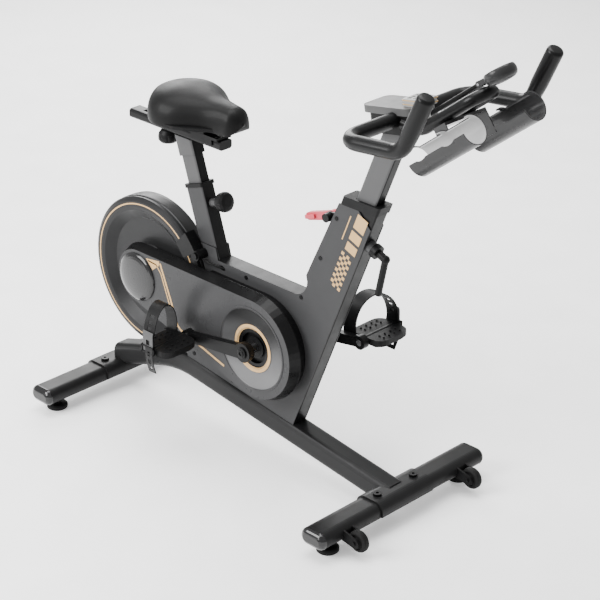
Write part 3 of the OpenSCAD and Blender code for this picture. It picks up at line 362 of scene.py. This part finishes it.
FINISH = {
    frame_paint(): (
        "seat_tube", "right_side_panel", "left_side_panel", "crank_shell", "flywheel_stays"),
    spine_paint(): ("spine",),
    plain("stabilizer_paint", (0.009, 0.009, 0.0092), 0.34): (
        "front_stabilizer", "rear_stabilizer", "stabilizer_brackets"),
    black_paint: ("down_tube", "top_beam", "brake_bracket", "magnet_arm"),
    black_moulding: (
        "head_collar", "seat_collar", "drive_tray", "wheel_forks", "crankset_pulley",
        "right_pedal", "left_pedal", "seat_pin_knob", "saddle_knob", "bar_lock_handle",
        "saddle_carriage", "saddle_frame"),
    gloss_black: ("stabilizer_caps", "hub_cap", "monitor"),
    fastener_paint(): ("frame_fasteners",),
    bare_steel: (
        "crank_bearings", "flywheel_axle", "flywheel_bearings", "crank_axle",
        "right_pedal_spindle", "left_pedal_spindle"),
    cover_paint(): ("drive_cover",),
    dish_paint(): ("crank_dish",),
    rubber: (
        "drive_belt", "brake_cable", "transport_wheel_right", "transport_wheel_left",
        "foot_front_right", "foot_front_left", "foot_rear_right", "foot_rear_left"),
    flywheel_paint(): ("flywheel",),
    plain("crank_black", (0.004, 0.004, 0.0042), 0.34, 0.1): ("right_crank", "left_crank"),
    post_paint(): ("seat_post", "bar_post"),
    rail_paint(): ("seat_rail",),
    housing_paint(): ("bar_housing",),
    console_paint(): ("console",),
    cradle_paint(): ("cradles",),
    red_plastic: ("brake_lever",),
    strap_grey: ("right_pedal_strap", "left_pedal_strap"),
    saddle_skin: ("saddle_pad",),
    grip_foam: ("grip_bar", "extension_loop"),
}
for finish, names in FINISH.items():
    for name in names:
        nodes[name].data.materials.clear()
        nodes[name].data.materials.append(finish)


# ---- mesh helpers ----

def mesh_object(name, points, faces, finish, body, smooth=True):
    """A new piece that rides on a body. Points are in the row frame, in metres."""
    mesh = bpy.data.meshes.new(name)
    mesh.from_pydata([tuple(p) for p in points], [], faces)
    build = bmesh.new()
    build.from_mesh(mesh)
    bmesh.ops.recalc_face_normals(build, faces=build.faces)
    build.to_mesh(mesh)
    build.free()
    if smooth:
        mesh.shade_smooth()
        mesh.set_sharp_from_angle(angle=math.radians(38))
    mesh.materials.append(finish)
    made = bpy.data.objects.new(name, mesh)
    bpy.context.scene.collection.objects.link(made)
    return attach(made, body)


def bevelled(made, width, segments=2):
    cut = made.modifiers.new("edges", "BEVEL")
    cut.width = width
    cut.segments = segments
    cut.limit_method = "ANGLE"
    return made


def prism(outline, low, high, place):
    """Points and faces of an outline drawn in local X, Z and given thickness along local Y."""
    n = len(outline)
    points = [place @ Vector((x * MM, y * MM, z * MM)) for y in (low, high) for x, z in outline]
    faces = [list(range(n)), list(range(2 * n - 1, n - 1, -1))]
    faces += [[i, (i + 1) % n, n + (i + 1) % n, n + i] for i in range(n)]
    return points, faces


def prisms(name, outlines, low, high, place, finish, body):
    """Several prisms joined as one piece."""
    points, faces = [], []
    for outline in outlines:
        more, sides = prism(outline, low, high, place)
        faces += [[i + len(points) for i in side] for side in sides]
        points += more
    return mesh_object(name, points, faces, finish, body, smooth=False)


def rectangle(x0, x1, z0, z1):
    return [(x0, z0), (x1, z0), (x1, z1), (x0, z1)]


def strip(points, width):
    """Outline of a bent strip along some points in X, Z."""
    left, right = [], []
    for i, here in enumerate(points):
        before, after = points[max(i - 1, 0)], points[min(i + 1, len(points) - 1)]
        along = Vector((after[0] - before[0], after[1] - before[1])).normalized()
        side = Vector((-along.y, along.x)) * width / 2
        left.append((here[0] + side.x, here[1] + side.y))
        right.append((here[0] - side.x, here[1] - side.y))
    return left + right[::-1]


def sweep(name, path, radii, finish, body, up, sides=32):
    """A round tube along a path; up is a direction that the path never takes."""
    points, faces = [], []
    last = len(path) - 1
    for i, here in enumerate(path):
        along = (path[min(i + 1, last)] - path[max(i - 1, 0)]).normalized()
        u = up.cross(along).normalized()
        v = along.cross(u)
        for k in range(sides):
            a = 2 * math.pi * k / sides
            points.append(here + radii[i] * (math.cos(a) * u + math.sin(a) * v))
    for i in range(last):
        for k in range(sides):
            m = (k + 1) % sides
            faces.append([i * sides + k, i * sides + m, (i + 1) * sides + m, (i + 1) * sides + k])
    faces.append(list(range(sides))[::-1])
    faces.append([last * sides + k for k in range(sides)])
    return mesh_object(name, points, faces, finish, body)


def lathe(name, profile, place, finish, body, sides=64):
    """A profile of (radius, height) pairs turned round the place's Z axis."""
    points, faces = [], []
    for r, h in profile:
        for k in range(sides):
            a = 2 * math.pi * k / sides
            points.append(place @ Vector((r * MM * math.cos(a), r * MM * math.sin(a), h * MM)))
    for i in range(len(profile) - 1):
        for k in range(sides):
            m = (k + 1) % sides
            faces.append([i * sides + k, i * sides + m, (i + 1) * sides + m, (i + 1) * sides + k])
    faces.append(list(range(sides))[::-1])
    faces.append([(len(profile) - 1) * sides + k for k in range(sides)])
    return mesh_object(name, points, faces, finish, body)


def blended(pairs, t):
    """Value at t on a smooth curve through a list of (t, value) pairs."""
    last = len(pairs) - 1
    i = max(k for k in range(last) if pairs[k][0] <= t or k == 0)

    def slope(k):
        before, after = pairs[max(k - 1, 0)], pairs[min(k + 1, last)]
        return (after[1] - before[1]) / (after[0] - before[0])

    (t0, v0), (t1, v1) = pairs[i], pairs[i + 1]
    gap = t1 - t0
    s = (t - t0) / gap
    rise = (s - 2 * s ** 2 + s ** 3) * gap * slope(i) + (s ** 3 - s ** 2) * gap * slope(i + 1)
    return v0 + (v1 - v0) * (3 * s ** 2 - 2 * s ** 3) + rise


# ---- saddle ----

def saddle():
    """Padded shell with a wide rear dome, a sloping nose and skirts that hide the pan."""
    low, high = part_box("saddle_pad")
    rear_room, front_room, side_room, top_room, skirt_drop = 0.006, 0.005, 0.005, 0.005, 0.009
    length = high.x - low.x - rear_room - front_room
    half = (high.y - low.y) / 2 - side_room
    floor_z = low.z - skirt_drop
    rise = high.z - floor_z - top_room
    width = [(0, 0.34), (0.05, 0.56), (0.12, 0.78), (0.22, 0.95), (0.33, 1.0), (0.45, 0.92),
             (0.58, 0.7), (0.7, 0.5), (0.82, 0.4), (0.93, 0.37), (1.0, 0.36)]
    crown = [(0, 0.76), (0.05, 0.82), (0.13, 0.92), (0.25, 0.99), (0.34, 1.0), (0.5, 0.93),
             (0.65, 0.84), (0.8, 0.8), (0.91, 0.76), (1.0, 0.7)]
    skirt = [(0, 0.06), (0.1, 0.03), (0.3, 0.0), (0.6, 0.0), (1.0, 0.0)]
    under = ((0.93, -0.001), (0.84, 0.009), (0.0, 0.012), (-0.84, 0.009), (-0.93, -0.001))
    rows, around = 40, 28
    points, faces = [], []
    for i in range(rows + 1):
        t = (1 - math.cos(math.pi * i / rows)) / 2
        tip = max((t - 0.9) / 0.1, (0.07 - t) / 0.07, 0)
        round_off = min(math.sqrt(1.02 - tip * tip), 1)
        x = low.x + rear_room + length * t
        w = blended(width, t) * half * round_off
        core = floor_z + 0.3 * rise
        top = core + (floor_z + blended(crown, t) * rise - core) * round_off
        bottom = core - (core - floor_z - blended(skirt, t) * rise) * round_off
        hollow = max(min(1, (0.8 - t) / 0.2, t / 0.15), 0)
        for k in range(around + 1):
            a = math.pi * k / around
            across = math.copysign(abs(math.cos(a)) ** 0.8, math.cos(a))
            points.append(Vector((x, w * across, bottom + (top - bottom) * math.sin(a) ** 0.7)))
        for across, up in under:
            points.append(Vector((x, -w * across, bottom + up * hollow)))
    ring = around + 1 + len(under)
    for i in range(rows):
        for k in range(ring):
            m = (k + 1) % ring
            faces.append([i * ring + k, i * ring + m, (i + 1) * ring + m, (i + 1) * ring + k])
    for i, edge in ((0, 1), (rows, -1)):
        middle = sum((points[i * ring + k] for k in range(ring)), Vector()) / ring
        points.append(middle - Vector((0.0026 * edge, 0, 0)))
        for k in range(ring):
            faces.append([i * ring + k, i * ring + (k + 1) % ring, len(points) - 1])
    made = mesh_object("saddle_cushion", points, faces, saddle_skin, "saddle")
    made.data.shade_smooth()
    soft = made.modifiers.new("soft", "SUBSURF")
    soft.levels = soft.render_levels = 2
    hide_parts("saddle_pad")


# ---- bars ----

def arc(centre, radius, a0, a1, n, u, v):
    """Points of an arc about a centre, from angle a0 to a1, in the plane of u and v."""
    steps = [math.radians(a0 + (a1 - a0) * i / n) for i in range(n + 1)]
    return [centre + radius * (math.cos(a) * u + math.sin(a) * v) for a in steps]


X, Y, Z = Vector((1, 0, 0)), Vector((0, 1, 0)), Vector((0, 0, 1))


def mirrored(path):
    """The path's mirror image in Y, reversed, and then the path."""
    return [Vector((p.x, -p.y, p.z)) for p in reversed(path)] + path


def grip_bar():
    low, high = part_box("grip_bar")
    r, bend, straight = 0.015, 0.042, 0.091
    tilt, up = 6, 59
    wide = high.y - r
    lateral = wide - bend
    run, rear_height = 0.122, 0.856
    centre = Vector((low.x + r, 0, rear_height))
    half = [Vector((0, lateral * s, 0)) for s in (0.03, 0.5)]
    half += arc(Vector((bend, lateral, 0)), bend, 180, 90, 14, X, Y)
    knee = arc(Vector((run, wide, bend)), bend, -90, -90 + up, 12, X, Z)
    half += knee
    out = Vector((math.cos(math.radians(up)), 0, math.sin(math.radians(up))))
    thick, edge = 0.0165, 0.007
    caps = [math.radians(84 * i / 8) for i in range(9)]
    radii = [r] * len(half) + [thick] + [thick - edge + edge * math.cos(a) for a in caps]
    half += [knee[-1] + out * 0.025]
    half += [knee[-1] + out * (straight + r - edge + edge * math.sin(a)) for a in caps]
    place = Matrix.Translation(centre) @ Matrix.Rotation(math.radians(-tilt), 4, "Y")
    path = [place @ p for p in mirrored(half)]
    side = (place.to_3x3() @ Vector((-0.9, 0, 0.42))).normalized()
    made = sweep("grip_bar_skin", path, radii[::-1] + radii, grip_foam, "handlebar", side)
    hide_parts("grip_bar")


def extension_loop():
    low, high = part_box("extension_loop")
    r, elbow, leg, foot = 0.012, 0.04, 0.128, 0.045
    lean = LOOP_RISE
    wide = high.y - r
    centre = Vector((low.x + foot, 0, low.z + r))
    cut = elbow * math.tan(math.radians(lean / 2))
    along = Vector((math.cos(math.radians(lean)), 0, math.sin(math.radians(lean))))
    half = arc(along * leg, wide, 1.5, 90, 12, Y, along)[::-1]
    half += arc(Vector((-cut, wide, elbow)), elbow, -90 + lean, -90, 8, X, Z)
    half += [Vector((-foot, wide, 0))]
    path = [centre + p for p in mirrored(half[1:])]
    side = Vector((-math.sin(math.radians(lean)), 0, math.cos(math.radians(lean))))
    made = sweep("loop_skin", path, [r] * len(path), grip_foam, "handlebar", side)
    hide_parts("extension_loop")


# ---- prints on the frame and the cover ----

def frame_print():
    """Plain gold bars and a checker strip on the right side panel."""
    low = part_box("right_side_panel")[0]
    face = low.y / MM
    bars = [rectangle(3, 31, -49, -15), rectangle(3, 31, -78, -56), rectangle(3, 31, -105, -85)]
    bars.append(rectangle(-12, -9.5, -92, -32))
    cell = 7.2
    for row in range(12):
        for column in range(4):
            if (row + column) % 2 == 0:
                x0, z0 = -1 + column * cell, -114 - row * cell
                bars.append(rectangle(x0, x0 + cell, z0 - cell, z0))
    made = prisms("panel_print", bars, face - 0.35, face + 0.1, HEAD, gold_trim, "frame")


def cover_print():
    """Double gold line that drops from the hub cap and turns forward along the cover."""
    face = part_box("drive_cover")[0].y / MM
    turn = [(-318, 373), (-288, 300), (-268, 246), (-258, 238), (-198, 222), (-126, 201)]
    inner = [(-356, 368), (-330, 366), (-316, 350), (-287, 275), (-276, 252)]
    wedge = [(-362, 371), (-320, 377), (-322, 366), (-342, 350)]
    outlines = [strip(turn, 5), strip(inner, 3), wedge]
    made = prisms("cover_print", outlines, face - 0.35, face + 0.1, Matrix(), gold_trim, "frame")


# ---- pedals ----

def pedal_place(side):
    """Local axes at a pedal: X forward, Y outward from the frame's middle, Z up."""
    name = "right_pedal_spin" if side < 0 else "left_pedal_spin"
    centre = joint_pos(name)
    turn = Matrix.Diagonal((1, side, 1, 1))
    return Matrix.Translation((centre.x, 0, centre.z)) @ turn


def band(name, route, half_width, thick, place, finish, body, holes=()):
    """A flat strap along a route of (out, up) pairs in millimetres, with slots cut through it."""
    columns = [-1, -0.34, 0.34, 1]
    points, faces = [], []
    last = len(route) - 1
    for i, here in enumerate(route):
        before, after = route[max(i - 1, 0)], route[min(i + 1, last)]
        along = Vector((after[0] - before[0], after[1] - before[1])).normalized()
        for lift in (thick / 2, -thick / 2):
            for c in columns:
                y, z = here[0] - along.y * lift, here[1] + along.x * lift
                points.append(place @ Vector((c * half_width * MM, y * MM, z * MM)))

    def at(row, layer, column):
        return row * 8 + layer * 4 + column

    for i in range(last):
        for c in range(3):
            if c == 1 and i in holes:
                for row, flip in ((i, False), (i + 1, True)):
                    wall = [at(row, 0, 1), at(row, 0, 2), at(row, 1, 2), at(row, 1, 1)]
                    faces.append(wall[::-1] if flip else wall)
                for column in (1, 2):
                    faces.append([at(i, 0, column), at(i + 1, 0, column),
                                  at(i + 1, 1, column), at(i, 1, column)])
                continue
            for layer in (0, 1):
                faces.append([at(i, layer, c), at(i, layer, c + 1),
                              at(i + 1, layer, c + 1), at(i + 1, layer, c)])
        for column in (0, 3):
            faces.append([at(i, 0, column), at(i + 1, 0, column),
                          at(i + 1, 1, column), at(i, 1, column)])
    for row in (0, last):
        for c in range(3):
            faces.append([at(row, 0, c), at(row, 0, c + 1), at(row, 1, c + 1), at(row, 1, c)])
    made = mesh_object(name, points, faces, finish, body, smooth=False)
    made.data.shade_smooth()
    made.data.set_sharp_from_angle(angle=math.radians(50))
    return bevelled(made, 0.0004)


def toe_strap(side):
    """Arched strap with adjusting slots, a buckle on the outside and a loose tail."""
    label = "right" if side < 0 else "left"
    body = label + "_pedal_body"
    skew = Matrix.Identity(4)
    skew[0][1] = 16 / 46
    behind = 0.025
    place = pedal_place(side) @ Matrix.Translation((-behind, PEDAL_OUT, 0)) @ skew
    out, rise = 47.2, 84.8
    arch = [(-out, -5.6), (-out, 8)]
    arch += [(-out * math.cos(math.radians(6 * i)), 18 + (rise - 18) * math.sin(math.radians(6 * i)))
             for i in range(31)]
    arch += [(out, 8), (out, -5.6)]
    made = band(label + "_strap_arch", arch, 16.6, 2.4, place, strap_black, body,
                holes=(23, 25, 27, 29))
    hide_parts(label + "_pedal_strap")
    cover = [(out + 0.6, 44), (out + 2.6, 38), (out + 3, 26), (out + 3, 14), (out + 3, 4),
             (out + 2.8, -6)]
    outside = band(label + "_strap_end", cover, 15, 2.2, place, strap_grey, body, holes=(2, 4))
    tail = [(out + 5.4, 10), (out + 5.4, 2), (out + 5, -8), (out + 4, -17), (out + 2, -27),
            (out - 1, -36), (out - 4, -44), (out - 7, -52)]
    ahead = place @ Matrix.Translation((0.004, 0, 0))
    end = band(label + "_strap_tail", tail, 11, 2.2, ahead, strap_black, body, holes=(1, 3, 5))
    frame_bars = [rectangle(-19, 19, -4, -1), rectangle(-19, 19, 10, 13),
                  rectangle(-19, -16, -4, 13), rectangle(16, 19, -4, 13)]
    buckle = prisms(label + "_buckle", frame_bars, out, out + 6.5, place, black_moulding, body)


def pedal_pads(side):
    """Grip studs on the flat platform."""
    label = "right" if side < 0 else "left"
    body = label + "_pedal_body"
    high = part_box(label + "_pedal")[1]
    top = high.z - joint_pos(label + "_pedal_spin").z
    place = pedal_place(side) @ Matrix.Translation((0, PEDAL_OUT, top))
    flat = place @ Matrix.Rotation(math.pi / 2, 4, "X")
    stud = [(2.2 * math.cos(math.radians(60 * k)), 2.2 * math.sin(math.radians(60 * k)))
            for k in range(6)]
    studs = [[(x + u, y + v) for u, v in stud] for x in (-32, -20, 20, 32) for y in (-24, -8, 8, 24)]
    made = prisms(label + "_studs", studs, -0.4, 1.6, flat, rubber, body)


def display():
    """Round display: a domed shell at the back, a bezel and a dark glass that faces the rider."""
    place = LOOP @ Matrix.Translation((52 * MM, 0, -18 * MM))
    shell = [(0.5, 0), (15, 0.3), (23, 1.4), (27.6, 4), (30.2, 8.5), (31, 13.5), (30.8, 18), (29.6, 22),
             (28.2, 23.7), (26.6, 24), (25.8, 23.2), (25.5, 22.4), (0.5, 22.4)]
    made = lathe("display_shell", shell, place, puck_black, "monitor_body")
    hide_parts("monitor")
    pane = [(0.5, 22.3), (25.4, 22.3), (25.4, 22.8), (24.6, 23.1), (0.5, 23.3)]
    glass = lathe("display_glass", pane, place, screen_glass, "monitor_body")
    ear = [(6 * math.cos(math.radians(a)), 6 * math.sin(math.radians(a))) for a in range(90, 271, 15)]
    ear += [(25, -4), (25, 4)]
    ear_thick = 3.6
    points, faces = [], []
    for y in (-8.5, 4.9):
        more, sides = prism(ear, y, y + ear_thick, LOOP)
        faces += [[i + len(points) for i in side] for side in sides]
        points += more
    lugs = mesh_object("display_ears", points, faces, puck_black, "monitor_body", smooth=False)
    pin = [Vector((0, y * MM, 0)) for y in (-9.1, 9.1)]
    rod = sweep("display_pin", [LOOP @ p for p in pin], [2.4 * MM] * 2, bare_steel, "monitor_body", Z, 20)


def console_trim():
    """Gold edge lines, a small screen and three keys on the console box."""
    tilt = Matrix.Rotation(math.radians(-HOUSING_SLOPE), 4, "Y")
    place = Matrix.Translation(HOUSING) @ tilt @ Matrix.Translation((54 * MM, 0, 32 * MM))
    upright = place @ Matrix.Rotation(math.pi / 2, 4, "X")
    edge = [rectangle(-25.3, 25.3, -21.3, -20), rectangle(-25.3, 25.3, 20, 21.3),
            rectangle(-25.3, -24, -21.3, 21.3), rectangle(24, 25.3, -21.3, 21.3)]
    for name, depth in (("console_trim", -3.6), ("console_trim_low", -11.2)):
        made = prisms(name, edge, depth, depth + 1.6, upright, gold_trim, "handlebar")
    window = [rectangle(-4, 19, -15, 15)]
    screen = prisms("console_screen", window, -0.6, 0.4, upright, screen_glass, "handlebar")
    keys = [rectangle(-18, -10, y, y + 7) for y in (-15, -3.5, 8)]
    made = prisms("console_keys", keys, -1.1, 0.4, upright, black_moulding, "handlebar")


# ---- small fittings ----

def crank_bolts():
    """Socket-head bolt and washer in the middle of each crank's boss."""
    profile = [(0.5, -1), (11, -1), (11, 0.2), (10, 0.7), (7.4, 0.7), (7, 2.2), (4.4, 2.4), (4.2, 0.4),
               (0.5, 0.3)]
    for side, label in ((-1, "right"), (1, "left")):
        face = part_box(label + "_crank")[0 if side < 0 else 1].y
        turn = Matrix.Rotation(math.radians(90) * (1 if side < 0 else -1), 4, "X")
        place = Matrix.Translation((crank.x, face, crank.z)) @ turn
        made = lathe(label + "_crank_bolt", profile, place, black_paint, "crankset", 36)


saddle()
grip_bar()
extension_loop()
frame_print()
cover_print()
for side in (-1, 1):
    toe_strap(side)
    pedal_pads(side)
display()
console_trim()
crank_bolts()


# ---- floor, light and camera ----

def floor():
    paint = Paint("floor_white", (0.93, 0.93, 0.93), 0.7)
    paint.shader.inputs["Emission Color"].default_value = (1, 1, 1, 1)
    paint.shader.inputs["Emission Strength"].default_value = 0.3
    mesh = bpy.data.meshes.new("floor")
    mesh.from_pydata([(-9, -9, 0), (9, -9, 0), (9, 9, 0), (-9, 9, 0)], [], [[0, 1, 2, 3]])
    mesh.materials.append(paint.done(grain=60.0, bump=0.01))
    made = bpy.data.objects.new("floor", mesh)
    bpy.context.scene.collection.objects.link(made)


def softbox(name, place, target, size, power):
    light = bpy.data.lights.new(name, "AREA")
    light.shape = "RECTANGLE"
    light.size, light.size_y = size
    light.energy = power
    made = bpy.data.objects.new(name, light)
    made.location = place
    made.rotation_euler = (Vector(target) - Vector(place)).to_track_quat("-Z", "Y").to_euler()
    bpy.context.scene.collection.objects.link(made)


def studio():
    world = bpy.data.worlds.new("studio")
    world.use_nodes = True
    world.node_tree.nodes["Background"].inputs["Color"].default_value = (1, 1, 1, 1)
    world.node_tree.nodes["Background"].inputs["Strength"].default_value = 0.85
    bpy.context.scene.world = world
    softbox("key", (-1.4, -3.0, 2.4), (-0.1, 0, 0.4), (2.4, 2.0), 260)
    softbox("top", (-0.4, 0.2, 3.4), (0, 0, 0.4), (3.0, 2.0), 170)
    softbox("back", (-2.6, 1.8, 1.8), (-0.1, 0, 0.5), (1.6, 2.0), 90)


def camera():
    data = bpy.data.cameras.new("camera")
    data.lens = 126.06
    data.sensor_width = 36
    made = bpy.data.objects.new("camera", data)
    made.location = (2.7103, -2.7074, 2.2318)
    look = Vector((0.0320, -0.0001, 0.3848)) - made.location
    made.rotation_euler = look.to_track_quat("-Z", "Y").to_euler()
    bpy.context.scene.collection.objects.link(made)
    bpy.context.scene.camera = made


floor()
studio()
camera()
